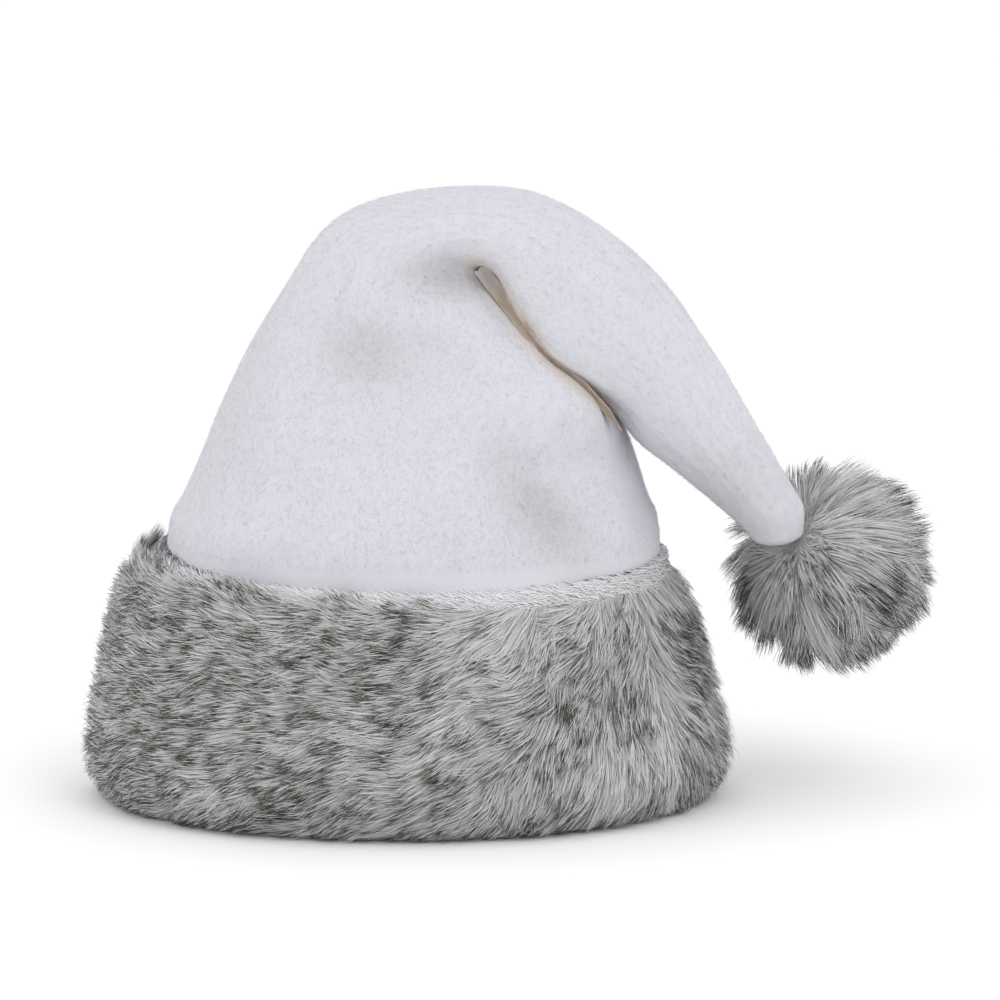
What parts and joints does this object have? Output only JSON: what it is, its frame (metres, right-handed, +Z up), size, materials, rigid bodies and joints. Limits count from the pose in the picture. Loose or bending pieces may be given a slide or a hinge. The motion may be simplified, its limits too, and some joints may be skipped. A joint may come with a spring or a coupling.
{
  "type": "santa hat",
  "caption": "Soft plush hat whose long tail folds over to one side, with a turned-up cuff of long faux fur round the rim and a fur pompom on the tip.",
  "frame": {"origin": "centre of the object's box, on the surface that the cuff's rim stands on", "axes": "+X to the side that the tail hangs to, -Y to the front, +Z up, away from the rim"},
  "size_m": [0.3818, 0.2238, 0.2702],
  "materials": {
    "white_plush": "short soft pile, matt",
    "frosted_fur": "long pale hair with dark tips, matt"
  },
  "bodies": {
    "root": {"crown": "white_plush", "cuff": "frosted_fur", "pompom": "frosted_fur"}
  },
  "joints": []
}
